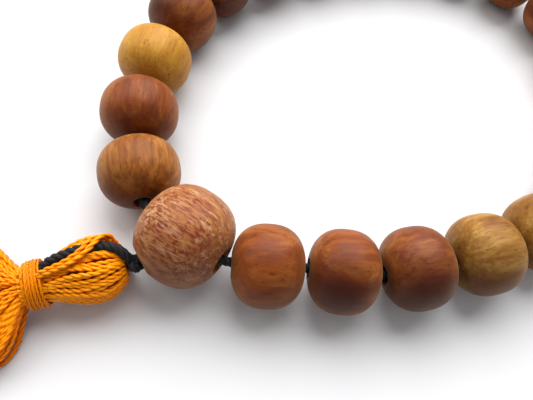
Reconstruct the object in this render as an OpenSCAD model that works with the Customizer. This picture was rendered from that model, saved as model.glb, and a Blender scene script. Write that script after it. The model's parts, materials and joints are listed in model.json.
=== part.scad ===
// Wrist mala: 21 turned wooden beads and a three-hole guru bead on one black cord,
// closed by a knot and a thread tassel. It lies on a flat surface at z = 0.
// The origin is the middle of the loop on that surface, and the loop is counted
// anticlockwise from the guru bead, seen from above.

/* [Beads] */
// Largest diameter of a bead
bead_d = 10; // [8:0.1:10.4]
// Length of a bead along its bore
bead_len = 8.4; // [6:0.1:8.5]
// Bore through a bead
bead_bore = 2.2; // [1.8:0.1:3]
// How square the turned shape is: 2 is a plain ellipse
bead_square = 2.4; // [2:0.1:3]
// How much the turned beads differ in size, as a part of one
size_spread = 0.012; // [0:0.005:0.02]

/* [Guru bead] */
// Largest diameter of the guru bead
guru_d = 11.9; // [11:0.1:13]
// Length of the guru bead along its through bore
guru_len = 10.6; // [9:0.1:11]
// Through bore, wide enough for the cord to lie slack in it
guru_bore = 3.1; // [2.8:0.1:3.4]
// Third hole, where both ends of the cord leave towards the tassel
tassel_bore = 3.4; // [3.1:0.1:4]
// Angle from the through bore's first end to the third hole
tassel_bore_turn = 116; // [100:1:122]

/* [Cord] */
// Thickness of the cord
cord_d = 1.2; // [0.8:0.1:1.3]
// Cord taken up by each bead, from gap to gap
pitch = 8.95; // [8.9:0.05:9.4]
// How far the slack cord lies off the guru bead's middle, sideways and down
guru_slack = 0.5; // [0:0.05:0.5]
// Cord from the guru bead's middle to its gap on the first bead's side
guru_reach_first = 5.9; // [5.7:0.1:6.4]
// Cord from the guru bead's middle to its gap on the last bead's side
guru_reach_last = 6.8; // [6.2:0.1:7.2]

/* [How the loop lies] */
// Heading of the guru bead's bore
guru_heading = -24; // [-35:1:-20]
// Bend of the cord at each gap from the guru bead forward
bends_forward = [32, -2, 16, 2, 14]; // [-10:1:40]
// Bend of the cord at each gap from the guru bead backward
bends_backward = [44, 12, 15, 12, 17]; // [-10:1:46]
// How much tighter the loop bends in the middle of its far side, as a part of one
far_swell = 0.4; // [0:0.05:0.6]
// How many beads before the middle of the far side it bends tightest
far_early = 0.75; // [0:0.25:1.5]

/* [Tassel] */
// Width of the knot outside the third hole
knot_d = 2.6; // [2.4:0.1:2.7]
// Direction in which the tassel lies
tassel_heading = 207; // [195:1:215]
// How far the knot's middle stands out of the guru bead
knot_out = 0.4; // [0.3:0.05:0.7]
// How far the tassel's middle line lies beside the knot
tassel_aside = 0.95; // [0.5:0.05:1.5]
// How far the cord's tail lies beside the knot
tail_aside = 2.4; // [1.8:0.1:2.6]
// From the knot's middle to the fold of the head
fold_reach = 1.2; // [1.1:0.1:1.6]
// Widest part of the tassel's head
head_d = 7.6; // [6.5:0.1:8]
// Length of the head from the fold to the binding
head_len = 8.7; // [8:0.1:9.2]
// Neck of gathered threads inside the binding
neck_d = 4.8; // [4:0.1:5.2]
// Width of the binding along the tassel
binding_w = 2.3; // [2:0.1:3]
// Turns of thread side by side in the binding
binding_turns = 8; // [5:1:9]
// Length of the loose skirt of threads
skirt_len = 35; // [20:1:45]
// Width of the skirt where the threads end
skirt_w = 24; // [16:1:28]
// Thickness of the skirt where the threads end
skirt_t = 3; // [2:0.5:5]

/* [Hidden] */
$fn = 64;
running_gap = 0.05;
corner_extra = 0.04;
ball_r = (cord_d + corner_extra) / 2;
hollow_r = ball_r + running_gap;
ball_steps = 6;
far_beads = 11;
last_bead = len(bends_forward) + far_beads + len(bends_backward);
profile_steps = 20;
cord_z = bead_d / 2;
guru_cord_z = guru_d / 2 - guru_slack;
mouth_chamfer = 0.3;
open_gap = 0.3;
knot_drop = 1;

function bead_name(k) = str("bead_", k < 10 ? "0" : "", k);
function strand_name(k) = str("strand_", k < 10 ? "0" : "", k);

// ---- how the loop is laid out ----

function along(a) = [cos(a), sin(a), 0];
function total(list, n) = n == 0 ? 0 : list[n - 1] + total(list, n - 1);
function forward_heading(k) = guru_heading + total(bends_forward, k);
function backward_heading(k) = guru_heading - total(bends_backward, k);

guru_inward = along(guru_heading + 90) * guru_slack;
first_gap = along(guru_heading) * guru_reach_first + guru_inward;
last_gap = -along(guru_heading) * guru_reach_last + guru_inward;
function forward_gap(k) = k == 0 ? first_gap : forward_gap(k - 1) + along(forward_heading(k)) * pitch;
function backward_gap(k) = k == 0 ? last_gap : backward_gap(k - 1) - along(backward_heading(k)) * pitch;

// The far beads close the loop as an arc between the two laid stretches, tightest near its middle.
function far_turn(k) =
    k == 0 ? 0
    : far_turn(k - 1) + 1 + far_swell * cos(360 * (k - far_beads / 2 + far_early) / far_beads);
far_turns = [for (k = [0 : far_beads - 1]) far_turn(k)];
function arc_reach(bend, k) =
    k == 0 ? [0, 0, 0] : arc_reach(bend, k - 1) + along(bend * far_turns[k - 1]) * pitch;
arc_start = forward_gap(len(bends_forward));
arc_end = backward_gap(len(bends_backward));
arc_chord = arc_end - arc_start;
function solve_bend(low, high, tries) =
    let (mid = (low + high) / 2)
    tries == 0 ? mid
    : norm(arc_reach(mid, far_beads)) > norm(arc_chord) ? solve_bend(mid, high, tries - 1)
    : solve_bend(low, mid, tries - 1);
far_bend = solve_bend(1, 360 / far_beads - 1, 40);
arc_closed = arc_reach(far_bend, far_beads);
far_heading = atan2(arc_chord[1], arc_chord[0]) - atan2(arc_closed[1], arc_closed[0]);
function far_gap(k) =
    k == 0 ? arc_start : far_gap(k - 1) + along(far_heading + far_bend * far_turns[k - 1]) * pitch;

// Gap k lies after bead k, and gap 0 after the guru bead.
gaps_flat = concat(
    [for (k = [0 : len(bends_forward)]) forward_gap(k)],
    [for (k = [1 : far_beads - 1]) far_gap(k)],
    [for (k = [len(bends_backward) : -1 : 0]) backward_gap(k)]
);
function gap_sum(k) = k < 0 ? [0, 0, 0] : gaps_flat[k] + gap_sum(k - 1);
loop_middle = gap_sum(last_bead) / (last_bead + 1);
function gap_z(k) = (k == 0 || k == last_bead) ? guru_cord_z : cord_z;
gaps = [for (k = [0 : last_bead]) gaps_flat[k] - loop_middle + [0, 0, gap_z(k)]];
guru_at = [-loop_middle[0], -loop_middle[1], guru_d / 2];

function bead_scale(k) = 1 + size_spread * sin(60 * k - 90);
function bead_at(k) =
    let (mid = (gaps[k - 1] + gaps[k]) / 2)
    [mid[0], mid[1], bead_d / 2 * bead_scale(k)];
function bead_heading(k) = let (d = gaps[k] - gaps[k - 1]) atan2(d[1], d[0]);

// ---- where the tassel lies ----

tassel_bore_heading = guru_heading - tassel_bore_turn;
knot_at = guru_at + along(tassel_bore_heading) * (guru_d / 2 + knot_out) - [0, 0, knot_drop];
tassel_z = head_d / 2 + running_gap;
binding_start = fold_reach + head_len;
wrap_d = binding_w / binding_turns;
band_in = neck_d / 2 + running_gap;
binding_r = band_in + 1.5 * wrap_d;
// The skirt bends about the middle of the binding, and clears the binding's rim.
skirt_pivot_x = binding_start + binding_w / 2;
skirt_play = 0.15;
neck_play = 0.2;
skirt_cut_r = norm([binding_w / 2, binding_r]) + skirt_play;
neck_end_r = skirt_cut_r - neck_play;
neck_end_steps = 4;
neck_end_angle = asin(neck_d / 2 / neck_end_r);

// The tassel's own frame: x along it from the knot, z up from the surface.
module in_tassel() {
    translate([knot_at[0], knot_at[1], 0])
        rotate([0, 0, tassel_heading])
            children();
}

// ---- shared shapes ----

// Half outline of a turned bead, from one end of its axis to the other.
function turned_outline(half_len, radius, square) = [
    for (i = [0 : profile_steps])
        let (a = 180 * i / profile_steps, c = cos(a), s = max(sin(a), 0))
        [radius * pow(s, 2 / square), half_len * sign(c) * pow(abs(c), 2 / square)]
];

// A turned bead about z, with its bore and the small chamfer at each mouth.
module drilled_bead(diameter, length, bore) {
    difference() {
        rotate_extrude()
            polygon(turned_outline(length / 2, diameter / 2, bead_square));
        cylinder(h = length + 2, d = bore, center = true);
        for (end = [-1, 1])
            translate([0, 0, end * length / 2])
                cylinder(
                    h = 2 * mouth_chamfer,
                    d1 = bore + (end < 0 ? 4 : 0) * mouth_chamfer,
                    d2 = bore + (end > 0 ? 4 : 0) * mouth_chamfer,
                    center = true
                );
    }
}

// Round bar between two points.
module bar(from, to, d) {
    v = to - from;
    translate(from)
        rotate([0, acos(v[2] / norm(v)), atan2(v[1], v[0])])
            cylinder(h = norm(v), d = d);
}

// Ball a little wider than the bar that it ends or turns.
module corner(d) {
    sphere(d = d + corner_extra);
}

// Round bar through a list of points, with a ball at each corner.
module bent_bar(points, d) {
    for (i = [1 : len(points) - 1])
        bar(points[i - 1], points[i], d);
    for (i = [1 : len(points) - 2])
        translate(points[i])
            corner(d);
}

// ---- beads ----

// Wood tones from yellowish tan to dark brown, and the tone of each bead in turn.
wood_tones = ["burlywood", "peru", "sienna", "saddlebrown", "indianred"];
bead_tones = [2, 2, 4, 0, 1, 3, 1, 2, 0, 4, 2, 3, 1, 0, 2, 4, 3, 3, 0, 2, 1];

module bead(k) {
    color(wood_tones[bead_tones[k - 1]])
        translate(bead_at(k))
            rotate([0, 90, bead_heading(k)])
                scale(bead_scale(k))
                    drilled_bead(bead_d, bead_len, bead_bore / bead_scale(k));
}

module guru_bead() {
    color("rosybrown")
        difference() {
            translate(guru_at)
                rotate([0, 90, guru_heading])
                    drilled_bead(guru_d, guru_len, guru_bore);
            translate(guru_at)
                rotate([0, 90, tassel_bore_heading])
                    cylinder(h = guru_d, d = tassel_bore);
            translate(knot_at)
                sphere(d = knot_d + 4 * running_gap);
        }
}

// ---- cord ----

// Half outline of one stretch of cord: a hollow at its start, and a ball at its end
// that the next stretch turns about.
function strand_outline(length, is_open_end) = concat(
    [for (i = [0 : ball_steps])
        let (a = i / ball_steps * asin(cord_d / 2 / hollow_r))
        [hollow_r * sin(a), hollow_r * cos(a)]],
    is_open_end ? [[cord_d / 2, length], [0, length]]
    : [for (i = [ball_steps : -1 : 0])
        let (a = i / ball_steps * (180 - asin(cord_d / 2 / ball_r)))
        [ball_r * sin(a), length + ball_r * cos(a)]]
);

// The cord inside bead k.
module strand(k) {
    inner = k <= far_beads ? gaps[k - 1] : gaps[k];
    outer = k <= far_beads ? gaps[k] : gaps[k - 1];
    is_open_end = k == far_beads || k == far_beads + 1;
    reach = outer - inner;
    color("black")
        translate(inner)
            rotate([0, acos(reach[2] / norm(reach)), atan2(reach[1], reach[0])])
                rotate_extrude()
                    polygon(strand_outline(norm(reach) - (is_open_end ? open_gap : 0), is_open_end));
}

// Turns z to point along v.
module aim(v) {
    rotate([0, acos(v[2] / norm(v)), atan2(v[1], v[0])])
        children();
}

// One end of the cord inside the guru bead: a ball at the gap, a mitred turn at the
// middle of the bead, and a flat end short of the knot.
module guru_cord_end(gap, turn_at, knot_side) {
    to_gap = gap - turn_at;
    to_knot = knot_side - turn_at;
    mitre = to_knot / norm(to_knot) - to_gap / norm(to_gap);
    difference() {
        translate(turn_at)
            aim(to_gap)
                rotate_extrude()
                    polygon(concat(
                        [[0, -cord_d], [cord_d / 2, -cord_d]],
                        [for (i = [ball_steps : -1 : 0])
                            let (a = i / ball_steps * (180 - asin(cord_d / 2 / ball_r)))
                            [ball_r * sin(a), norm(to_gap) + ball_r * cos(a)]]
                    ));
        translate(turn_at)
            aim(mitre)
                translate([-guru_d, -guru_d, 0])
                    cube(2 * guru_d);
    }
    difference() {
        translate(turn_at)
            aim(to_knot)
                translate([0, 0, -cord_d])
                    cylinder(h = norm(to_knot) + cord_d - knot_d / 2 - running_gap, d = cord_d);
        translate(turn_at)
            aim(-mitre)
                translate([-guru_d, -guru_d, 0])
                    cube(2 * guru_d);
    }
}

// The cord's two ends come in through the guru bead's bore and leave side by side.
module guru_strand() {
    out = along(tassel_bore_heading);
    beside = along(tassel_bore_heading + 90) * (cord_d / 2 + running_gap);
    middle = [guru_at[0], guru_at[1], guru_cord_z] + out * guru_slack;
    color("black") {
        guru_cord_end(gaps[0], middle + beside, knot_at + beside);
        guru_cord_end(gaps[last_bead], middle - beside, knot_at - beside);
    }
}

module cord_knot() {
    wrap = 0.9;
    core_d = knot_d - 0.4;
    wrap_reach = knot_d / 2 - wrap / 2 - 0.1;
    color("black")
        translate(knot_at) {
            sphere(d = core_d);
            for (lift = [-wrap / 2, wrap / 2])
                translate([0, 0, lift])
                    rotate_extrude()
                        translate([wrap_reach, 0])
                            circle(d = wrap);
        }
}

// ---- tassel ----

head_wide_part = 0.4;
head_wide_x = head_wide_part * head_len;
head_roundness = 0.8;
outline_step = 9;
loop_d = cord_d - running_gap;
loop_sink = 0.4;
loop_top = tassel_z + head_d / 2 - loop_sink;
loop_bottom = 0.85;
eye_play = 0.4;
slot_play = 0.25;
eye_d = loop_d + eye_play;
slot_w = loop_d + slot_play;

// The loop stands in one upright plane through the knot, turned sideways to the eye.
eye_depth = 1.5;
eye_x = fold_reach + eye_depth;
eye_reach = norm([eye_x, tail_aside]);
loop_turn = -atan2(tail_aside, eye_x);
fold_gap = 1.6;
leg_reach = fold_gap - 0.3;
function in_loop(reach, z) = [reach * cos(loop_turn), reach * sin(loop_turn), z];
knot_middle = in_loop(0, knot_at[2]);
function off_knot(to) =
    knot_middle + (to - knot_middle) * (knot_d / 2 + running_gap) / norm(to - knot_middle);
over_fold = in_loop(leg_reach, loop_top);
under_fold = in_loop(leg_reach, loop_bottom);
loop_points = [
    off_knot(over_fold),
    over_fold,
    in_loop(eye_reach, loop_top),
    in_loop(eye_reach, loop_bottom),
    under_fold,
    off_knot(under_fold)
];

// The tail lies along the head, and sinks towards the binding.
tail_start = loop_points[2];
tail_stop = 0.8;
tail_drop = 1.2;
tail_end = [binding_start - tail_stop, -tail_aside, loop_top - tail_drop];
tail_slope = atan2(tail_drop, tail_end[0] - tail_start[0]);

module tassel_loop() {
    color("black")
        in_tassel() {
            bent_bar(loop_points, loop_d);
            bar(tail_start, tail_end, loop_d);
        }
}

// Half outline of the gathered head and its neck, from the fold to the round end
// that the skirt bends about.
function head_outline() = concat(
    [for (a = [0 : outline_step : 90])
        [head_d / 2 * pow(sin(a), head_roundness), head_wide_x * (1 - cos(a))]],
    [for (a = [outline_step : outline_step : 90])
        [neck_d / 2 + (head_d - neck_d) / 2 * cos(a), head_wide_x + (head_len - head_wide_x) * a / 90]],
    [for (i = [neck_end_steps : -1 : 0])
        let (a = neck_end_angle * i / neck_end_steps)
        [neck_end_r * sin(a), head_len + binding_w / 2 + neck_end_r * cos(a)]]
);

module tassel_head() {
    color("orange")
        in_tassel()
            difference() {
                translate([fold_reach, -tassel_aside, tassel_z])
                    rotate([0, 90, 0])
                        rotate_extrude()
                            polygon(head_outline());
                // the eye, and the slots of the loop in front of it, above it and below it
                translate(in_loop(eye_reach, 0))
                    cylinder(h = 2 * head_d, d = eye_d);
                rotate([0, 0, loop_turn])
                    translate([0, -slot_w / 2, 0]) {
                        cube([fold_gap, slot_w, 2 * head_d]);
                        translate([0, 0, loop_top - slot_w / 2])
                            cube([eye_reach, slot_w, head_d]);
                        cube([eye_reach, slot_w, loop_bottom + slot_w / 2]);
                    }
                translate(tail_start)
                    rotate([0, tail_slope, 0])
                        translate([0, -slot_w / 2, -slot_w / 2])
                            cube([norm(tail_end - tail_start) + 2 * running_gap, slot_w, head_d]);
            }
}

module tassel_binding() {
    thread_part = 0.98;
    color("darkorange")
        in_tassel()
            translate([binding_start, -tassel_aside, tassel_z])
                rotate([0, 90, 0])
                    rotate_extrude() {
                        translate([band_in, 0])
                            square([wrap_d, binding_w]);
                        for (i = [0 : binding_turns - 1])
                            translate([band_in + wrap_d, (i + 0.5) * wrap_d])
                                circle(d = wrap_d * thread_part, $fn = 24);
                    }
}

skirt_root_gap = 0.2;
skirt_root_x = binding_start + binding_w + skirt_root_gap;
shoulder_reach = 4;
shoulder_drop = 0.6;
flare_reach = 11;
flare_t = 4.6;
flare_part = 0.85;

// One section of the skirt, as a flattened ball on the tassel's middle line.
module skirt_ball(x, z, d, part_long, part_wide, part_high) {
    translate([x, -tassel_aside, z])
        scale([part_long, part_wide, part_high])
            sphere(d = d, $fn = 32);
}

module skirt_root() {
    skirt_ball(skirt_root_x, tassel_z, neck_d, 0.2, 1, 0.9);
}

module skirt_shoulder() {
    skirt_ball(skirt_root_x + shoulder_reach, tassel_z - shoulder_drop, neck_d, 0.5, 2.7, 1);
}

module skirt_flare() {
    skirt_ball(
        skirt_root_x + flare_reach, flare_t / 2 + running_gap,
        flare_t, 0.5, flare_part * skirt_w / flare_t, 1
    );
}

module skirt_end() {
    skirt_ball(
        skirt_root_x + skirt_len - skirt_t / 2, skirt_t / 2 + running_gap,
        skirt_t, 1, skirt_w / skirt_t, 1
    );
}

// The loose threads, as one flared and flattened body.
module tassel_skirt() {
    color("orange")
        in_tassel()
            difference() {
                union() {
                    hull() {
                        skirt_root();
                        skirt_shoulder();
                    }
                    hull() {
                        skirt_shoulder();
                        skirt_flare();
                    }
                    hull() {
                        skirt_flare();
                        skirt_end();
                    }
                }
                translate([skirt_pivot_x, -tassel_aside, tassel_z])
                    sphere(r = skirt_cut_r, $fn = 48);
            }
}

// ---- the assembly ----

guru_bead();
for (k = [1 : last_bead])
    bead(k);
guru_strand();
for (k = [1 : last_bead])
    strand(k);
cord_knot();
tassel_loop();
tassel_head();
tassel_binding();
tassel_skirt();
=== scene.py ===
"""Looks of a wrist mala: turned wooden beads, black cord and a saffron thread tassel."""

import json
import math

import bpy
import numpy as np
from mathutils import Matrix, Vector


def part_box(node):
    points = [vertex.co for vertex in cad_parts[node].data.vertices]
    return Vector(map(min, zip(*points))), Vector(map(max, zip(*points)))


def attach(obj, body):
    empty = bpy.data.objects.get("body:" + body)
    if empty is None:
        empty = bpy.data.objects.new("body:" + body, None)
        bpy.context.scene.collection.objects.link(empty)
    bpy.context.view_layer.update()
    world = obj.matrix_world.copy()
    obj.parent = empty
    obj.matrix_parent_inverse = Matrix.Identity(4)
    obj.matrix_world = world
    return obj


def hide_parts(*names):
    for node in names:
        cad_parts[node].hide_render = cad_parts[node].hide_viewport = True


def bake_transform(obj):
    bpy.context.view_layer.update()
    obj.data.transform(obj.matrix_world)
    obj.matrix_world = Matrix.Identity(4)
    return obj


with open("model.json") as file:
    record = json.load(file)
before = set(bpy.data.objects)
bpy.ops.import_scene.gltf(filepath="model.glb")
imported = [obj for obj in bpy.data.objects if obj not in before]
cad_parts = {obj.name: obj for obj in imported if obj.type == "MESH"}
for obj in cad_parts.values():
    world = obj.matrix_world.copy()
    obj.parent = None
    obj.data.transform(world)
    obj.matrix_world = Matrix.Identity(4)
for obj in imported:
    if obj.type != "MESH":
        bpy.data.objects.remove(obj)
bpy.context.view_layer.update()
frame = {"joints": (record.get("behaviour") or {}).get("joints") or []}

rng = np.random.default_rng(21)

# Lengths are in mm and angles in degrees, unless a comment says otherwise.
MM = 0.001
BEADS = 21
OPEN_GAP = 11
DRIVER_GAP = 1
BEAD_D = 10.0
BEAD_HALF_LEN = 4.2
BEAD_BORE_R = 1.1
GURU_R = 5.95
GURU_HALF_LEN = 5.3
GURU_BORE_R = 1.55
TASSEL_BORE_R = 1.7
GURU_HEADING = -24
GURU_SLACK = 0.5
SQUARENESS = 2.4
CORD_R = 0.6
CORD_PITCH = 2.6
BINDING_W = 2.3
HEAD_R = 3.8
FOLD_X = 1.0
SKIRT_LEN = 35.0
THREAD_PITCH = 1.9
FULL_TURN = 6.28

# ---- camera and light ----

VIEW_TARGET_FROM_GURU = (8.41, 9.29)
VIEW_ELEVATION = 65.09
VIEW_ROLL = 11.06
VIEW_DISTANCE = 65.88
VIEW_LENS = 32.96
SENSOR_W = 36

guru_box = np.array(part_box("guru_bead")) / MM
guru_at = guru_box.mean(axis=0)
elev, roll = math.radians(VIEW_ELEVATION), math.radians(VIEW_ROLL)
back = Vector((0, -math.cos(elev), math.sin(elev)))
level = Vector((0, math.sin(elev), math.cos(elev)))
right = Vector((1, 0, 0)) * math.cos(roll) + level * math.sin(roll)
up = level * math.cos(roll) - Vector((1, 0, 0)) * math.sin(roll)
camera_data = bpy.data.cameras.new("camera")
camera_data.lens = VIEW_LENS
camera_data.sensor_width = SENSOR_W
camera_data.clip_start = MM
camera = bpy.data.objects.new("camera", camera_data)
bpy.context.scene.collection.objects.link(camera)
target = Vector((guru_at[0] + VIEW_TARGET_FROM_GURU[0], guru_at[1] + VIEW_TARGET_FROM_GURU[1], 0))
eye = (target + back * VIEW_DISTANCE) * MM
camera.matrix_world = Matrix.Translation(eye) @ Matrix((right, up, back)).transposed().to_4x4()
bpy.context.scene.camera = camera
bpy.context.scene.view_settings.view_transform = "Standard"


def area_light(name, where, aim, size, power, tint=(1, 1, 1)):
    data = bpy.data.lights.new(name, "AREA")
    data.shape = "DISK"
    data.size = size
    data.energy = power
    data.color = tint
    light = bpy.data.objects.new(name, data)
    bpy.context.scene.collection.objects.link(light)
    light.location = where
    light.rotation_euler = (Vector(aim) - Vector(where)).to_track_quat("-Z", "Y").to_euler()


# Places, aims and sizes of the lights in metres, and their powers in watts.
WINDOW = {"where": (0.02, 0.38, 0.42), "aim": (-0.01, -0.01, 0), "size": 0.70, "power": 7.3}
FILL = {"where": (-0.34, 0.12, 0.30), "aim": (-0.01, -0.02, 0), "size": 0.34, "power": 1.0,
        "tint": (1, 0.99, 0.97)}
SKY_TINT = (0.98, 0.985, 1, 1)
SKY_STRENGTH = 0.42

area_light("window", **WINDOW)
area_light("fill", **FILL)
world = bpy.data.worlds.new("studio")
bpy.context.scene.world = world
world.use_nodes = True
background = world.node_tree.nodes["Background"]
background.inputs["Color"].default_value = SKY_TINT
background.inputs["Strength"].default_value = SKY_STRENGTH

# ---- node materials ----


class Nodes:
    """A material's node tree, with short ways to add what the finishes share."""

    # Sockets of a colour mix: its amount and its two colours, and its result.
    MIX_IN, MIX_OUT = (0, 6, 7), 2

    def __init__(self, name):
        self.material = bpy.data.materials.new(name)
        self.material.use_nodes = True
        self.tree = self.material.node_tree
        self.shader = self.tree.nodes["Principled BSDF"]

    def add(self, kind, **settings):
        node = self.tree.nodes.new(kind)
        for key, value in settings.items():
            setattr(node, key, value)
        return node

    def link(self, source, target):
        self.tree.links.new(source, target)

    def mapped(self, scale=(1, 1, 1), turn=(0, 0, 0), shift=(0, 0, 0)):
        coords = self.add("ShaderNodeTexCoord")
        mapping = self.add("ShaderNodeMapping")
        mapping.inputs["Location"].default_value = shift
        mapping.inputs["Rotation"].default_value = turn
        mapping.inputs["Scale"].default_value = scale
        self.link(coords.outputs["Object"], mapping.inputs["Vector"])
        return mapping.outputs["Vector"]

    def noise(self, vector, scale, detail, rough, distortion=0.0):
        node = self.add("ShaderNodeTexNoise")
        node.inputs["Scale"].default_value = scale
        node.inputs["Detail"].default_value = detail
        node.inputs["Roughness"].default_value = rough
        node.inputs["Distortion"].default_value = distortion
        self.link(vector, node.inputs["Vector"])
        return node.outputs["Fac"]

    def ramp(self, value, stops):
        node = self.add("ShaderNodeValToRGB")
        elements = node.color_ramp.elements
        while len(elements) < len(stops):
            elements.new(0.5)
        for element, (place, tint) in zip(elements, stops):
            element.position = place
            element.color = (*tint, 1)
        self.link(value, node.inputs["Fac"])
        return node.outputs["Color"]

    def level(self, value, low, high):
        return self.ramp(value, [(low, (0, 0, 0)), (high, (1, 1, 1))])

    def math(self, operation, first, second):
        node = self.add("ShaderNodeMath", operation=operation)
        for socket, value in zip(node.inputs, (first, second)):
            if isinstance(value, (int, float)):
                socket.default_value = value
            else:
                self.link(value, socket)
        return node.outputs["Value"]

    def mix(self, amount, first, second):
        node = self.add("ShaderNodeMix", data_type="RGBA")
        for place, value in zip(self.MIX_IN, (amount, first, second)):
            socket = node.inputs[place]
            if isinstance(value, (int, float)):
                socket.default_value = value
            elif isinstance(value, tuple):
                socket.default_value = (*value, 1)
            else:
                self.link(value, socket)
        return node.outputs[self.MIX_OUT]

    def bump(self, height, distance, strength, after=None):
        node = self.add("ShaderNodeBump")
        node.inputs["Strength"].default_value = strength
        node.inputs["Distance"].default_value = distance
        self.link(height, node.inputs["Height"])
        if after is not None:
            self.link(after, node.inputs["Normal"])
        return node.outputs["Normal"]

    def set(self, name, value):
        if isinstance(value, (int, float, tuple)):
            self.shader.inputs[name].default_value = value
        else:
            self.link(value, self.shader.inputs[name])


# The wood's layers: stretch along the grain, scale, detail, roughness and distortion.
FIGURE = (0.45, 230, 4, 0.55, 0.8)
GRAIN = (0.10, 2300, 5, 0.62, 0.35)
BANDS = (0.16, 620, 3, 0.5, 0.5)
PORES = (0.22, 3900, 2, 0.5)
FLECKS = (0.26, 3300, 4, 0.68, 0.5)
PATCHES = (1, 300, 2, 0.5)
PALE_FIBRES = (0.12, 2100, 3, 0.6)
LATHE_LINES = (5200, 3, 0.6)
# Shares of the grain and the bands in the streaks, and the spread from dark to light.
GRAIN_SHARE, BAND_SHARE = 0.6, 0.55
TONE_SPREAD = 0.13
FLECK_TINT = (0.16, 0.024, 0.008)
PALE_TINT = (0.60, 0.38, 0.22)
# The dark patch's colour against the dark tone, and the unevenness of its edge in metres. The patch is
# heartwood on some beads and painted shade on the front side of others.
HEART_AND_SHADE_TINT = (0.42, 0.22, 0.25)
HEART_AND_SHADE_UNEVEN = 0.0022


def wood(name, dark, mid, light, turn, seed, blotch, streak, heart_and_shade, fleck=0.0):
    """Turned, waxed wood: soft figure, fine grain along one way, pores and turning lines."""
    n = Nodes(name)
    shift = (seed * 0.37, seed * 0.71, seed * 0.13)

    def layer(stretch, *settings, at=shift):
        return n.noise(n.mapped((1, 1, stretch), turn, at), *settings)

    figure, grain, bands = layer(*FIGURE), layer(*GRAIN), layer(*BANDS)
    mixed = n.math("ADD", n.math("MULTIPLY", figure, blotch), n.math("MULTIPLY", grain, streak * GRAIN_SHARE))
    mixed = n.math("ADD", mixed, n.math("MULTIPLY", bands, streak * BAND_SHARE))
    total = 0.5 * (blotch + streak * (GRAIN_SHARE + BAND_SHARE))
    tone = n.ramp(mixed, [(total - TONE_SPREAD, dark), (total, mid), (total + TONE_SPREAD, light)])
    pores = n.level(layer(*PORES), 0.60, 0.70)
    tone = n.mix(n.math("MULTIPLY", pores, 0.55), tone, tuple(c * 0.45 for c in dark))
    if fleck:
        patches = n.level(layer(*PATCHES), 0.30, 0.60)
        marks = n.math("MULTIPLY", n.level(layer(*FLECKS), 0.47, 0.56), n.math("ADD", 0.35, patches))
        tone = n.mix(n.math("MULTIPLY", marks, fleck), tone, FLECK_TINT)
        pale = n.level(layer(*PALE_FIBRES, at=(seed, 0, 0)), 0.54, 0.66)
        tone = n.mix(n.math("MULTIPLY", pale, 0.45), tone, PALE_TINT)
    if heart_and_shade is not None:
        # A darker patch round one point of the bead: heartwood on some beads, and painted shade on the front
        # side, away from the window light, on others.
        place, reach, depth = heart_and_shade
        away = n.add("ShaderNodeVectorMath", operation="DISTANCE")
        n.link(n.mapped(), away.inputs[0])
        away.inputs[1].default_value = place
        edge = n.math("ADD", away.outputs["Value"], n.math("MULTIPLY", figure, HEART_AND_SHADE_UNEVEN))
        near = n.ramp(n.math("MULTIPLY", edge, 1 / reach), [(0.35, (1, 1, 1)), (1.0, (0, 0, 0))])
        heart_and_shade_tone = tuple(c * f for c, f in zip(dark, HEART_AND_SHADE_TINT))
        tone = n.mix(n.math("MULTIPLY", near, depth), tone, heart_and_shade_tone)
    n.set("Base Color", tone)
    n.set("Roughness", n.math("ADD", 0.36, n.math("MULTIPLY", grain, 0.22)))
    lathe_lines = n.noise(n.mapped((0.02, 0.02, 1), (0, 0, 0), shift), *LATHE_LINES)
    worn = n.bump(lathe_lines, 0.04 * MM, 0.35)
    worn = n.bump(grain, 0.05 * MM, 0.45, worn)
    n.set("Normal", worn)
    n.set("IOR", 1.3)
    n.set("Specular IOR Level", 0.40)
    n.set("Sheen Weight", 0.12)
    n.set("Sheen Roughness", 0.5)
    n.set("Sheen Tint", (1.0, 0.72, 0.38, 1))
    return n.material


def thread(name, shaded_recess, deep, bright, lit_glow):
    """Shiny twisted thread with painted light and shade. The pieces carry how open to the light each point
    is, and the colour runs from painted shade in the recesses to painted light where open.
    """
    n = Nodes(name)
    shade = n.add("ShaderNodeAttribute", attribute_name="shade").outputs["Fac"]
    tone = n.add("ShaderNodeAttribute", attribute_name="tone").outputs["Fac"]
    body = n.ramp(shade, [(0.05, shaded_recess), (0.42, deep), (0.78, bright), (1.0, lit_glow)])
    fibres = n.noise(n.mapped(), 5200, 3, 0.6)
    body = n.mix(n.math("MULTIPLY", n.level(fibres, 0.40, 0.66), 0.40), body, deep)
    body = n.mix(n.math("MULTIPLY", tone, 0.5), body, deep)
    n.set("Base Color", body)
    n.set("Roughness", n.math("ADD", 0.34, n.math("MULTIPLY", fibres, 0.25)))
    n.set("Normal", n.bump(fibres, 0.05 * MM, 0.4))
    n.set("Specular IOR Level", 0.30)
    n.set("Specular Tint", (1.0, 0.70, 0.25, 1))
    return n.material


def cord_finish():
    n = Nodes("cord_black")
    fibres = n.noise(n.mapped(), 4200, 4, 0.65)
    n.set("Base Color", n.ramp(fibres, [(0.3, (0.004, 0.004, 0.005)), (0.7, (0.014, 0.014, 0.016))]))
    n.set("Roughness", n.math("ADD", 0.60, n.math("MULTIPLY", fibres, 0.3)))
    n.set("Normal", n.bump(fibres, 0.08 * MM, 0.6))
    n.set("Specular IOR Level", 0.3)
    return n.material


def floor_finish():
    n = Nodes("pale_floor")
    cloud = n.noise(n.mapped(), 9, 2, 0.5)
    n.set("Base Color", n.ramp(cloud, [(0.3, (0.63, 0.63, 0.64)), (0.7, (0.67, 0.67, 0.68))]))
    n.set("Roughness", n.math("ADD", 0.5, n.math("MULTIPLY", cloud, 0.2)))
    n.set("Specular IOR Level", 0.25)
    return n.material
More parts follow.
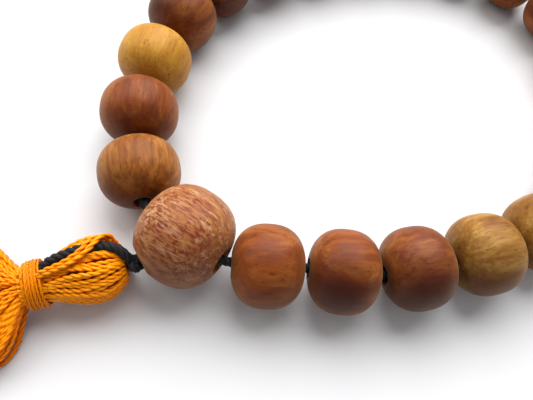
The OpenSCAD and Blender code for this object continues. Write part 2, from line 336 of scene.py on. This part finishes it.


# Tones of the threads, from painted shade in the recess between the plies out to painted light where they lie
# open to the light.
THREAD = thread("tassel_thread",
                (0.26, 0.024, 0.0), (0.66, 0.13, 0.0), (0.96, 0.30, 0.001), (1.0, 0.41, 0.006))
WRAP = thread("binding_thread",
              (0.24, 0.026, 0.0), (0.52, 0.12, 0.0), (0.78, 0.22, 0.001), (0.88, 0.28, 0.004))
# The core is the same thread painted dark, as shade inside the head.
CORE_PAINTED_SHADE = thread("thread_core_painted_shade",
              (0.14, 0.014, 0.0), (0.24, 0.028, 0.0), (0.30, 0.040, 0.0), (0.34, 0.05, 0.0))
CORD = cord_finish()

# ---- meshes ----


def new_piece(name, verts, faces, material, matrix=None, marks=None):
    """Adds a smooth mesh. Verts are in mm, and in the shared frame unless a matrix is given."""
    mesh = bpy.data.meshes.new(name)
    mesh.from_pydata((np.asarray(verts) * MM).tolist(), [], faces)
    mesh.polygons.foreach_set("use_smooth", [True] * len(mesh.polygons))
    for mark, values in (marks or {}).items():
        mesh.attributes.new(mark, "FLOAT", "POINT").data.foreach_set("value", values)
    mesh.materials.append(material)
    mesh.update()
    piece = bpy.data.objects.new(name, mesh)
    bpy.context.scene.collection.objects.link(piece)
    if matrix is not None:
        piece.matrix_world = matrix
    return piece


def unit(v):
    v = np.asarray(v, float)
    return v / np.linalg.norm(v, axis=-1, keepdims=True)


def smooth_step(t):
    t = np.clip(t, 0, 1)
    return t * t * (3 - 2 * t)


def length_along(path):
    return np.concatenate([[0], np.cumsum(np.linalg.norm(np.diff(path, axis=0), axis=1))])


def spline(points, step):
    """A Catmull-Rom curve through the points, at even steps along its length."""
    parts = 16
    p = np.asarray(points, float)
    p = np.vstack([2 * p[0] - p[1], p, 2 * p[-1] - p[-2]])
    t = np.linspace(0, 1, parts, endpoint=False)[:, None]
    out = []
    for a, b, c, d in zip(p[:-3], p[1:-2], p[2:-1], p[3:]):
        square = (2 * a - 5 * b + 4 * c - d) * t**2
        cube = (3 * b - a - 3 * c + d) * t**3
        out.append(0.5 * (2 * b + (c - a) * t + square + cube))
    out = np.vstack([*out, p[-2:-1]])
    far = length_along(out)
    even = np.linspace(0, far[-1], max(4, int(far[-1] / step) + 1))
    return np.stack([np.interp(even, far, out[:, i]) for i in range(3)], axis=1)


def moving_axes(path):
    """Two directions across the path at each point, carried along it without twist."""
    ahead = unit(np.gradient(path, axis=0))
    side = np.empty_like(ahead)
    start = np.array([0, 0, 1.0]) if abs(ahead[0][2]) < 0.8 else np.array([1.0, 0, 0])
    side[0] = unit(start - ahead[0] * (start @ ahead[0]))
    for i in range(1, len(path)):
        side[i] = unit(side[i - 1] - ahead[i] * (side[i - 1] @ ahead[i]))
    return side, np.cross(ahead, side)


def ring_faces(rings, sides, first=0, flip=False):
    """Faces between rings of points, and one over each end."""
    index = np.arange(rings * sides).reshape(rings, sides) + first
    nxt = np.roll(index, -1, axis=1)
    quads = np.stack([index[:-1], nxt[:-1], nxt[1:], index[1:]], axis=-1).reshape(-1, 4)
    ends = [index[0][::-1], index[-1]]
    if flip:
        quads, ends = quads[:, [0, 3, 2, 1]], [index[0], index[-1][::-1]]
    return quads.tolist() + [end.tolist() for end in ends]


class Yarn:
    """Gathers many tubes in one mesh, with their marks for the thread material: painted light and shade, and
    tone.
    """

    # A ply's radius against the width of a thread of two plies, and of three.
    PLY_R = {2: 0.29, 3: 0.27}

    def __init__(self):
        self.verts, self.faces, self.shade, self.tone, self.count = [], [], [], [], 0

    def tube(self, path, radius, sides, core, out, tone, depth):
        """One ply, painted lighter where its points lie outwards from the thread's core and painted darker,
        as shade, where they face inwards.
        """
        side, other = moving_axes(path)
        angle = np.arange(sides) / sides * 2 * math.pi
        ring = np.cos(angle)[None, :, None] * side[:, None] + np.sin(angle)[None, :, None] * other[:, None]
        points = path[:, None] + ring * radius
        self.faces += ring_faces(len(path), sides, self.count)
        self.verts.append(points.reshape(-1, 3))
        amount = len(path) * sides
        self.count += amount
        if out is None:
            open_sky = np.full(amount, 0.5)
        else:
            reach = points - core[:, None]
            size = np.linalg.norm(reach, axis=2).max()
            open_sky = 0.5 + 0.5 * np.einsum("ijk,ik->ij", reach, out).reshape(-1) / size
        self.shade.append(np.clip(open_sky, 0, 1) * depth)
        self.tone.append(np.full(amount, tone))

    def plied(self, path, width, pitch, phase=0.0, plies=2, sides=6, out=None, tone=0.0, depth=1.0,
              taper=1.0):
        """Plies twisted round each other, as wide together as the thread."""
        side, other = moving_axes(path)
        along = length_along(path)
        ply_r = width * self.PLY_R[plies]
        off = (width / 2 - ply_r) * np.broadcast_to(taper, len(path))[:, None]
        for i in range(plies):
            turn = (2 * math.pi * (along / pitch + i / plies) + phase)[:, None]
            centre = path + (side * np.cos(turn) + other * np.sin(turn)) * off
            self.tube(centre, ply_r, sides, path, out, tone, depth)

    def piece(self, name, material):
        marks = {"shade": np.concatenate(self.shade), "tone": np.concatenate(self.tone)}
        return new_piece(name, np.vstack(self.verts), self.faces, material, marks=marks)


# ---- where everything is ----

joints = {j["name"]: j for j in frame["joints"]}


def joint_at(name):
    return np.array(joints[name]["pos_m"]) / MM


def gap_at(k):
    if k == OPEN_GAP:
        middle, before = joint_at("bead_spin_%02d" % k), gap_at(k - 1)
        return np.array([2 * middle[0] - before[0], 2 * middle[1] - before[1], before[2]])
    return joint_at("loop_squeeze" if k == DRIVER_GAP else "cord_bend_%02d" % k)


def bead_frame(centre, axis):
    """Local z along the bore, and local x up."""
    z = Vector(axis).normalized()
    x = Vector((0, 0, 1))
    return Matrix.Translation(Vector(centre) * MM) @ Matrix((x, z.cross(x), z)).transposed().to_4x4()


def node_span(node):
    low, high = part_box(node)
    return np.array(low) / MM, np.array(high) / MM


knot_at = joint_at("tassel_swing")
lift_axis = joints["tassel_lift"]["axis"]
tassel_turn = math.atan2(lift_axis[0], -lift_axis[1])
tassel_x = np.array([math.cos(tassel_turn), math.sin(tassel_turn), 0])
tassel_y = np.array([-math.sin(tassel_turn), math.cos(tassel_turn), 0])
skirt_joint = joint_at("skirt_bend")
binding_mid = (skirt_joint - knot_at) @ tassel_x
tassel_side = (skirt_joint - knot_at) @ tassel_y
tassel_z = skirt_joint[2]
binding_near, binding_far = binding_mid - BINDING_W / 2, binding_mid + BINDING_W / 2


def from_tassel(points):
    """From the tassel's own frame, x along it from the knot and z up, to the shared frame."""
    p = np.atleast_2d(np.asarray(points, float))
    flat = np.array([knot_at[0], knot_at[1], 0])
    return flat + p[:, :1] * tassel_x + p[:, 1:2] * tassel_y + p[:, 2:] * [0, 0, 1]


# ---- beads ----


# The bead's end opens wider than its bore, and a lip narrows it: width against the bore,
# and place between the mouth at -1 and the middle at 0.
MOUTH_FLARE = 1.28
LIP = [(1.12, -1), (1.02, -0.965), (1, -0.90), (1, -0.45), (1, 0)]


def turned_shell(half_len, radius, bore_r, wobble, rings=44, sides=72):
    """A turned bead with its bore, closed, about local z."""
    flare = bore_r * MOUTH_FLARE / radius
    mouth = half_len * (1 - flare**SQUARENESS) ** (1 / SQUARENESS)
    first = math.asin(min(1, flare ** (SQUARENESS / 2)))
    outline = []
    for i in range(rings + 1):
        a = first + (math.pi - 2 * first) * i / rings
        c, s = math.cos(a), math.sin(a)
        height = half_len * math.copysign(abs(c) ** (2 / SQUARENESS), c)
        outline.append((radius * abs(s) ** (2 / SQUARENESS), height))
    lip = [(bore_r * wide, mouth * z) for wide, z in LIP]
    outline = np.array(outline + lip + [(r, -z) for r, z in lip[-2::-1]])
    radii, heights = outline[:, :1], outline[:, 1:]
    angle = np.arange(sides) / sides * 2 * math.pi
    radii = radii * (1 + wobble * np.sin(2 * angle[None] + 3 * heights / half_len))
    points = np.stack([radii * np.cos(angle), radii * np.sin(angle), np.repeat(heights, sides, 1)], axis=-1)
    index = np.arange(len(outline) * sides).reshape(-1, sides)
    nxt, after = np.roll(index, -1, axis=1), np.roll(index, -1, axis=0)
    faces = np.stack([index, after, np.roll(after, -1, axis=1), nxt], axis=-1).reshape(-1, 4)
    return points.reshape(-1, 3), faces.tolist()


def heart_and_shade_in(matrix, radius, way, reach, depth):
    """The dark patch's place on the bead's surface in the bead's own frame, its reach and its depth. The
    patch is painted shade where it faces the front, and heartwood elsewhere.
    """
    return matrix.to_3x3().inverted() @ Vector(unit(way)) * (radius * MM), reach * MM, depth


# Dark, middle and light tones of each wood. Then each bead's wood, the turn of its grain in
# radians, and how strong its blotches and streaks are.
TAN = ((0.15, 0.052, 0.006), (0.27, 0.118, 0.016), (0.44, 0.245, 0.058))
GOLD = ((0.27, 0.098, 0.007), (0.43, 0.190, 0.016), (0.56, 0.300, 0.052))
AMBER = ((0.12, 0.030, 0.003), (0.23, 0.067, 0.007), (0.37, 0.150, 0.026))
BROWN = ((0.10, 0.017, 0.002), (0.20, 0.042, 0.004), (0.33, 0.108, 0.017))
RED_BROWN = ((0.07, 0.011, 0.002), (0.15, 0.029, 0.004), (0.27, 0.084, 0.014))
DARK = ((0.034, 0.006, 0.002), (0.085, 0.016, 0.004), (0.19, 0.054, 0.015))
BEAD_WOODS = [
    (BROWN, 1.35, 0.45, 0.35), (BROWN, 0.25, 0.80, 0.30), (RED_BROWN, 0.90, 0.45, 0.45),
    (TAN, 0.55, 0.45, 0.60), (TAN, 1.10, 0.40, 0.50), (DARK, 0.30, 0.50, 0.50),
    (AMBER, 1.40, 0.50, 0.50), (BROWN, 0.70, 0.55, 0.45), (GOLD, 0.20, 0.40, 0.60),
    (RED_BROWN, 1.20, 0.50, 0.50), (BROWN, 0.45, 0.50, 0.50), (DARK, 1.00, 0.50, 0.50),
    (AMBER, 0.10, 0.55, 0.45), (TAN, 0.85, 0.45, 0.55), (BROWN, 1.30, 0.60, 0.40),
    (RED_BROWN, 0.60, 0.50, 0.50), (DARK, 0.35, 0.45, 0.45), (RED_BROWN, 0.95, 0.45, 0.40),
    (GOLD, 0.75, 0.30, 0.45), (BROWN, 0.50, 0.40, 0.45), (AMBER, 0.62, 0.40, 0.75),
]

# Where a dark patch shows on a bead: its direction, its reach and how dark it is. Patches turned towards -y,
# the front side away from the window light, are painted shade; the others are heartwood.
HEARTS_AND_PAINTED_SHADE = {
    1: ((0.2, -1, 0.2), 7.5, 0.35), 2: ((-0.15, -0.80, 0.45), 7.8, 1.0), 3: ((0.1, -0.9, 0.35), 8.5, 0.85),
    4: ((0.1, -0.9, 0.15), 9.0, 0.85), 5: ((0.2, -0.9, 0.1), 7.5, 0.6), 7: ((1, 0, 0.5), 6.0, 0.7),
    9: ((0.4, 0.6, 0.6), 6.5, 0.6), 12: ((-0.5, 0.4, 0.7), 6.0, 0.7), 15: ((0, 1, 0.4), 7.0, 0.6),
    18: ((-0.7, -0.2, 0.5), 7.5, 0.7), 20: ((0, -1, 0.2), 7.5, 0.5), 21: ((-0.3, -0.9, 0.1), 7.5, 0.80),
}
# The beads that are cut a little longer than the rest.
LONGER_BEADS = {1: 0.18, 2: 0.05}

for k in range(1, BEADS + 1):
    name = "bead_%02d" % k
    low, high = node_span(name)
    scale = (high[2] - low[2]) / BEAD_D
    spin = joints["bead_spin_%02d" % k]
    half_len = BEAD_HALF_LEN * scale + LONGER_BEADS.get(k, 0)
    shell = turned_shell(half_len, BEAD_D / 2 * scale, BEAD_BORE_R, wobble=0.002)
    tones, turn, blotch, streak = BEAD_WOODS[k - 1]
    matrix = bead_frame(joint_at(spin["name"]), spin["axis"])
    heart_and_shade = heart_and_shade_in(matrix, BEAD_D / 2, *HEARTS_AND_PAINTED_SHADE[k]) if k in HEARTS_AND_PAINTED_SHADE else None
    finish = wood("wood_%02d" % k, *tones, turn=(turn, 0.4 * k, 0.9 * k), seed=0.7 * k,
                  blotch=blotch, streak=streak, heart_and_shade=heart_and_shade)
    bead = new_piece("turned_%02d" % k, *shell, finish, matrix)
    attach(bead, name)
    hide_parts(name)

# ---- guru bead ----

GURU_TONES = ((0.20, 0.052, 0.012), (0.33, 0.122, 0.036), (0.46, 0.23, 0.085))
# A dark patch on the guru bead's front side, away from the window light: painted shade.
GURU_PAINTED_SHADE = ((-0.1, -1, 0.15), 9.0, 0.6)
# The third hole's mouth: place from the bead's radius, and width against the hole.
HOLE_MOUTH = [(-1.2, 1), (-0.7, 1.03), (2, 1.6)]
HOLE_SIDES = 48

heading = math.radians(GURU_HEADING)
guru_matrix = bead_frame(guru_at, (math.cos(heading), math.sin(heading), 0))
hole_way = unit(np.array([knot_at[0] - guru_at[0], knot_at[1] - guru_at[1], 0]))
guru_finish = wood("wood_guru", *GURU_TONES, turn=(0.9, 0.2, 0.5), seed=5.3, blotch=0.45, streak=0.45,
                   heart_and_shade=heart_and_shade_in(guru_matrix, GURU_R, *GURU_PAINTED_SHADE), fleck=0.9)
guru_shell = turned_shell(GURU_HALF_LEN, GURU_R, GURU_BORE_R, wobble=0.003, rings=56, sides=96)
guru = new_piece("turned_guru", *guru_shell, guru_finish, guru_matrix)


def drill(bead, way, radius, length):
    """Cuts the third hole, from the middle of the bead outwards, with a rounded mouth."""
    rings = [(0.0, radius)] + [(length + far, radius * wide) for far, wide in HOLE_MOUTH]
    z = Vector(way)
    x = Vector((0, 0, 1))
    y = z.cross(x)
    verts = []
    for far, r in rings:
        for i in range(HOLE_SIDES):
            a = 2 * math.pi * i / HOLE_SIDES
            verts.append(tuple(Vector(guru_at) + z * far + x * r * math.cos(a) + y * r * math.sin(a)))
    cutter = new_piece("cutter", verts, ring_faces(len(rings), HOLE_SIDES), CORD)
    cut = bead.modifiers.new("third_hole", "BOOLEAN")
    cut.operation, cut.solver, cut.object = "DIFFERENCE", "EXACT", cutter
    bpy.context.view_layer.update()
    done = bpy.data.meshes.new_from_object(bead.evaluated_get(bpy.context.evaluated_depsgraph_get()))
    bead.modifiers.clear()
    material = bead.data.materials[0]
    bead.data = done
    done.materials.clear()
    done.materials.append(material)
    done.polygons.foreach_set("material_index", [0] * len(done.polygons))
    bpy.data.objects.remove(cutter)


drill(guru, hole_way, TASSEL_BORE_R, GURU_R)
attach(guru, "guru")
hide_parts("guru_bead")

# ---- cord through the beads ----

STRAND_GAP = 0.03
CORD_STEP = 0.24
GAP_ROUND = 0.9
GURU_ROUND = 1.2
GURU_LEAD = 2.6
# The guru bead's strands end this much short of the knot's middle, and this much closer together.
KNOT_SHORT = 0.6
KNOT_PINCH = 0.8


def round_turn(before, corner, after, reach):
    """Points of a cord that turns at a corner between two straight stretches."""
    a = corner + unit(before - corner) * reach
    b = corner + unit(after - corner) * reach
    t = np.linspace(0, 1, 9)[:, None]
    return np.vstack([before, a * (1 - t) ** 2 + corner * 2 * t * (1 - t) + b * t**2, after])


def cord_piece(name, path, step=CORD_STEP):
    yarn = Yarn()
    yarn.plied(spline(path, step), 2 * CORD_R, CORD_PITCH, phase=0.8, plies=3, sides=8)
    piece = yarn.piece(name, CORD)
    return piece


cord_middle = np.array([guru_at[0], guru_at[1], gap_at(0)[2]]) + hole_way * GURU_SLACK
beside = np.array([-hole_way[1], hole_way[0], 0]) * (CORD_R + STRAND_GAP)


def cord_point(k):
    """Middle of the cord inside bead k, or where it enters the guru bead."""
    if 1 <= k <= BEADS:
        return (gap_at(k - 1) + gap_at(k)) / 2
    gap, towards = (gap_at(0), cord_middle + beside) if k == 0 else (gap_at(BEADS), cord_middle - beside)
    return gap + unit(towards - gap) * GURU_LEAD


for k in range(BEADS + 1):
    near, corner, far = cord_point(k), gap_at(k), cord_point(k + 1)
    if k == OPEN_GAP:
        halves = (("cord_open_a", "cord_11", (near, corner)), ("cord_open_b", "cord_12", (corner, far)))
        for name, body, path in halves:
            half = cord_piece(name, path)
            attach(half, body)
        continue
    piece = cord_piece("cord_gap_%02d" % k, round_turn(near, corner, far, GAP_ROUND))
    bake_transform(piece)
    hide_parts("strand_%02d" % (k + 1 if k < OPEN_GAP else k))

for side, k in ((1, 0), (-1, BEADS + 1)):
    enter = cord_point(k)
    turn_at = cord_middle + beside * side
    leave = knot_at + beside * side * KNOT_PINCH - hole_way * KNOT_SHORT
    inner = cord_piece("cord_guru_%s" % "ab"[side < 0], round_turn(enter, turn_at, leave, GURU_ROUND))
    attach(inner, "guru")
    if side > 0:
        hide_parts("strand_00")

# ---- knot ----

KNOT_SIZE = 0.235
KNOT_DEPTH = 1.3
KNOT_CORD_W = 1.08
KNOT_PITCH = 2.2

t = np.linspace(0, 2 * math.pi, 90)
across, upwards = np.sin(t) + 2 * np.sin(2 * t), np.cos(t) - 2 * np.cos(2 * t)
trefoil = np.stack([across, upwards, -KNOT_DEPTH * np.sin(3 * t)], axis=1) * KNOT_SIZE
knot_path = knot_at + trefoil[:, :1] * tassel_y + trefoil[:, 1:2] * [0, 0, 1] + trefoil[:, 2:] * hole_way
yarn = Yarn()
yarn.plied(knot_path, KNOT_CORD_W, KNOT_PITCH, plies=3, sides=8)
knot = yarn.piece("knot_turns", CORD)
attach(knot, "knot")
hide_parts("cord_knot")

# ---- loop and tail of the cord at the tassel ----

# Places along each stretch, in the tassel's own frame.
LOOP_STEP = 0.2
tail_way = [
    (0.35, -0.25, 5.1), (0.85, -1.0, 6.4), (1.6, -1.75, 6.95), (3.0, -2.3, 7.1), (5.0, -2.45, 7.3),
    (7.0, -2.4, 7.0), (8.6, -2.3, 6.45), (9.6, -2.15, 5.8), (10.4, -1.9, 5.35),
]
under_way = [
    (0.35, -0.25, 4.8), (1.0, -0.9, 2.6), (1.35, -1.25, 1.1), (2.2, -2.0, 0.8), (2.75, -2.4, 1.4),
    (2.75, -2.4, 4.2),
]
eye_way = [(2.75, -2.4, 4.0), (2.75, -2.4, 5.4), (2.9, -2.38, 6.5), (3.5, -2.4, 7.0)]
for name, way in (("loop_tail", tail_way), ("loop_under", under_way), ("loop_eye", eye_way)):
    piece = cord_piece(name, from_tassel(way), LOOP_STEP)
    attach(piece, "tassel")
    if name == "loop_tail":
        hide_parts("tassel_loop")

# ---- tassel head ----

WIDE_X = FOLD_X + 3.4
NECK_R = 2.05
HEAD_THREAD_W = 0.60
HEAD_STEP = 0.22
HEAD_THREADS = 42
LOOSE_THREADS = 10
# The head's outline runs this far outside the middle lines of its threads.
OUTLINE_OUT = 0.34
# The cord's tail lies at this angle from straight up, in radians, with this much room on each side.
TAIL_ANGLE = math.radians(-24)
TAIL_ROOM = 0.27


def head_radius(x):
    """Radius of the gathered threads' middle lines, from the fold to the skirt."""
    outer = HEAD_R - OUTLINE_OUT
    front = np.clip((x - FOLD_X) / (WIDE_X - FOLD_X), 0, 1)
    rise = np.sqrt(np.clip(1 - (1 - front) ** 2, 0, 1)) ** 0.85
    fall = (1 + np.cos(math.pi * np.clip((x - WIDE_X) / (binding_near - WIDE_X + 0.3), 0, 1))) / 2
    return np.where(x < WIDE_X, outer * rise, NECK_R + (outer - NECK_R) * fall**0.8)


def round_axis(x, radius, angle):
    """A point at an angle from straight up round the tassel's middle line."""
    return np.stack([x, tassel_side + radius * np.sin(angle), tassel_z + radius * np.cos(angle)], axis=-1)


def outwards(points):
    """Directions away from the tassel's middle line, for points in the shared frame."""
    reach = points - from_tassel([(0, tassel_side, tassel_z)])
    reach -= np.outer(reach @ tassel_x, tassel_x)
    return unit(reach + 1e-9)


head = Yarn()
fold_way = FOLD_X + (WIDE_X - FOLD_X) * (1 - np.cos(np.linspace(0.30, 1, 9) * math.pi / 2))
neck_way = np.linspace(WIDE_X + 0.8, binding_near, 9)
x = np.concatenate([fold_way, neck_way, [binding_mid, binding_far + 0.3]])
tucked_x, tucked_radius = np.array([FOLD_X + 1.6, FOLD_X + 0.55]), np.array([0.55, 0.72])
for i in range(HEAD_THREADS + LOOSE_THREADS):
    loose = i >= HEAD_THREADS
    if loose:
        angle = rng.uniform(-math.pi, math.pi)
    else:
        angle = 2 * math.pi * i / HEAD_THREADS + rng.normal(0, 0.03)
    angle = (angle + math.pi) % (2 * math.pi) - math.pi
    off = angle - TAIL_ANGLE
    if abs(off) < TAIL_ROOM:
        angle = TAIL_ANGLE + math.copysign(TAIL_ROOM + rng.uniform(0, 0.05), off)
    lean = rng.normal(0, 0.05)
    lift = (0.20 if loose else 0) + rng.normal(0, 0.07)
    wave = rng.uniform(0, 2 * math.pi)
    radius = head_radius(x) + lift * np.sin(np.clip((x - FOLD_X) / (binding_near - FOLD_X), 0, 1) * math.pi)
    swirl = angle + lean * (x - WIDE_X) * 0.5 + 0.05 * np.sin(x * 0.9 + wave)
    way = round_axis(x, np.minimum(radius, NECK_R + 10 * np.clip(binding_near - x, 0, 1)), swirl)
    tucked = round_axis(tucked_x, tucked_radius, np.full(2, angle))
    path = spline(from_tassel(np.vstack([tucked, way])), HEAD_STEP)
    head.plied(path, HEAD_THREAD_W, THREAD_PITCH, phase=rng.uniform(0, FULL_TURN), sides=7,
               out=outwards(path), tone=rng.uniform(0, 0.55))
# A few threads lie across the cord between the fold and its end.
for shift, swing in ((0.0, 0.0), (0.45, 0.06), (0.95, -0.04)):
    x = np.array([FOLD_X + 0.6, 2.0, 2.7, 3.4, 4.4, 6.2, 8.6, binding_mid])
    radius = np.array([2.5, 3.65, 4.30, 4.42, 4.28, 3.85, 3.1, NECK_R])
    turn = TAIL_ANGLE + swing + np.array([-0.46, -0.34, -0.15, 0.03, 0.22, 0.36, 0.40, 0.40])
    places = round_axis(np.minimum(x + shift, binding_mid), radius - 0.06 * shift, turn)
    path = spline(from_tassel(places), HEAD_STEP)
    head.plied(path, HEAD_THREAD_W, THREAD_PITCH, phase=9 * shift, sides=7,
               out=outwards(path), tone=0.2 + 0.3 * shift)
head_piece = head.piece("head_threads", THREAD)
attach(head_piece, "tassel")
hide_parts("tassel_head")

# A dark core under the threads, painted as shade inside the head, and lower beneath the cord's tail.
CORE_SIDES = 40
CORE_IN = 0.42
x = np.concatenate([np.linspace(FOLD_X + 0.9, WIDE_X, 10), np.linspace(WIDE_X + 1, binding_far, 10)])
core_r = np.maximum(head_radius(x) - CORE_IN, 0.5)
angle = np.arange(CORE_SIDES) / CORE_SIDES * 2 * math.pi
lowered = np.where(np.abs(angle - 2 * math.pi - TAIL_ANGLE) < 0.25, 0.80, 1)
core = round_axis(np.repeat(x[:, None], CORE_SIDES, 1), core_r[:, None] * lowered[None], angle[None])
half_open = np.full(core[..., 0].size, 0.5)
core_piece = new_piece("head_core_painted_shade", from_tassel(core.reshape(-1, 3)),
                       ring_faces(len(x), CORE_SIDES, flip=True), CORE_PAINTED_SHADE,
                       marks={"shade": half_open, "tone": half_open * 0})
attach(core_piece, "tassel")

# ---- binding ----

BINDING_THREAD_W = 0.27
BINDING_PITCH = 1.5
# Turns, radius and tilt of the two layers.
BINDING_LAYERS = ((11.0, NECK_R + 0.44, 0.10), (8.0, NECK_R + 0.60, -0.20))
STEPS_PER_TURN = 44
EDGE_IN = 0.22

binding = Yarn()
for turns, radius, tilt in BINDING_LAYERS:
    angle = np.linspace(0, 2 * math.pi * turns, int(turns * STEPS_PER_TURN))
    slip = 0.05 * np.sin(angle * 0.37 + turns) + 0.03 * np.sin(angle * 1.7)
    x = binding_near + EDGE_IN + (BINDING_W - 2 * EDGE_IN) * angle / angle[-1] + tilt * np.cos(angle) + slip
    swell = radius + 0.05 * np.sin(angle * 0.61 + tilt) + 0.10 * np.sin(math.pi * angle / angle[-1])
    path = from_tassel(round_axis(x, swell, angle))
    binding.plied(path, BINDING_THREAD_W, BINDING_PITCH, sides=6, out=outwards(path), tone=0.25)
binding_piece = binding.piece("binding_turns", WRAP)
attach(binding_piece, "tassel")
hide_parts("tassel_binding")

# ---- skirt ----

SKIRT_THREAD_W = 0.54
SKIRT_STEP = 0.26
SKIRT_ROW = 38
# Places past the binding that each thread is drawn through.
SKIRT_PLACES = (1.2, 2.6, 4.5, 8, 14, 22)
# Half widths: at the binding, what the first spread adds and what the rest of the way adds.
SKIRT_HALF = (1.75, 4.3, 5.3)
# Height of the lowest threads' middles, of the whole pile above them, and what it loses outwards.
LOWEST, PILE, PILE_LOSS = 0.36, 3.4, 1.2
FRAY_STEPS = 12


def skirt_way(u, v, length, droop):
    """A loose thread: u from side to side, v from the surface up, droop towards the viewer."""
    places = [binding_far + far for far in SKIRT_PLACES]
    x = np.array([binding_near + 0.2, binding_far, *places, binding_far + length])
    past = x - binding_far
    gone = np.clip(past / 4.2, 0, 1)
    neck, spread, outer = SKIRT_HALF
    half = neck + spread * smooth_step(gone) ** 0.8 + outer * np.clip((past - 3) / 32, 0, 1)
    y = tassel_side + u * half + rng.normal(0, 0.16, len(x)) * gone
    rest = LOWEST + v * (PILE - PILE_LOSS * np.clip(past / 35, 0, 1))
    start = tassel_z + 1.7 * (2 * v - 1) * math.sqrt(max(0, 1 - 0.8 * u * u))
    z = start + (rest - start) * smooth_step(past / (9 - 6 * droop))
    y = y + droop * 1.3 * np.sin(math.pi * np.clip(past / 9, 0, 1)) * np.sign(u)
    z = np.maximum(z + rng.normal(0, 0.08, len(x)) * gone, LOWEST)
    return np.stack([x, y, z], axis=-1)
groups = {"skirt_threads_low": [], "skirt_threads_middle": [], "skirt_threads_high": []}
for i, name in enumerate(groups):
    for j in range(SKIRT_ROW):
        u = -1 + 2 * (j + 0.5) / SKIRT_ROW + rng.normal(0, 0.025)
        v = (i + rng.uniform(0.1, 0.9)) / 3
        droop = rng.uniform(0.3, 1) * np.clip((u - 0.3) / 0.6, 0, 1) + (0.3 if u < -0.85 else 0)
        groups[name].append((np.clip(u, -1.05, 1.05), v, SKIRT_LEN + rng.normal(0, 0.7) - 0.6, droop))
for i, (name, threads) in enumerate(groups.items()):
    yarn = Yarn()
    for u, v, length, droop in threads:
        path = spline(from_tassel(skirt_way(u, v, length, droop)), SKIRT_STEP)
        # Painted light and shade: the threads are lighter where they face up and outwards, and the lower
        # layers are painted darker by depth, as shade under the upper ones.
        sky = np.tile([0, 0, 1.0], (len(path), 1)) + 0.3 * outwards(path)
        fray = 1 + 0.8 * smooth_step((np.arange(len(path)) - len(path) + FRAY_STEPS) / FRAY_STEPS)
        yarn.plied(path, SKIRT_THREAD_W, THREAD_PITCH, phase=rng.uniform(0, FULL_TURN), sides=5,
                   out=unit(sky), tone=rng.uniform(0, 0.6), depth=0.72 + 0.14 * i, taper=fray)
    piece = yarn.piece(name, THREAD)
    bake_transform(piece)
    if i == 0:
        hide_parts("tassel_skirt")

# ---- floor ----

FLOOR_HALF = 600.0
corners = [(x * FLOOR_HALF, y * FLOOR_HALF, 0) for x, y in ((-1, -1), (1, -1), (1, 1), (-1, 1))]
floor = new_piece("floor", corners, [[0, 1, 2, 3]], floor_finish())
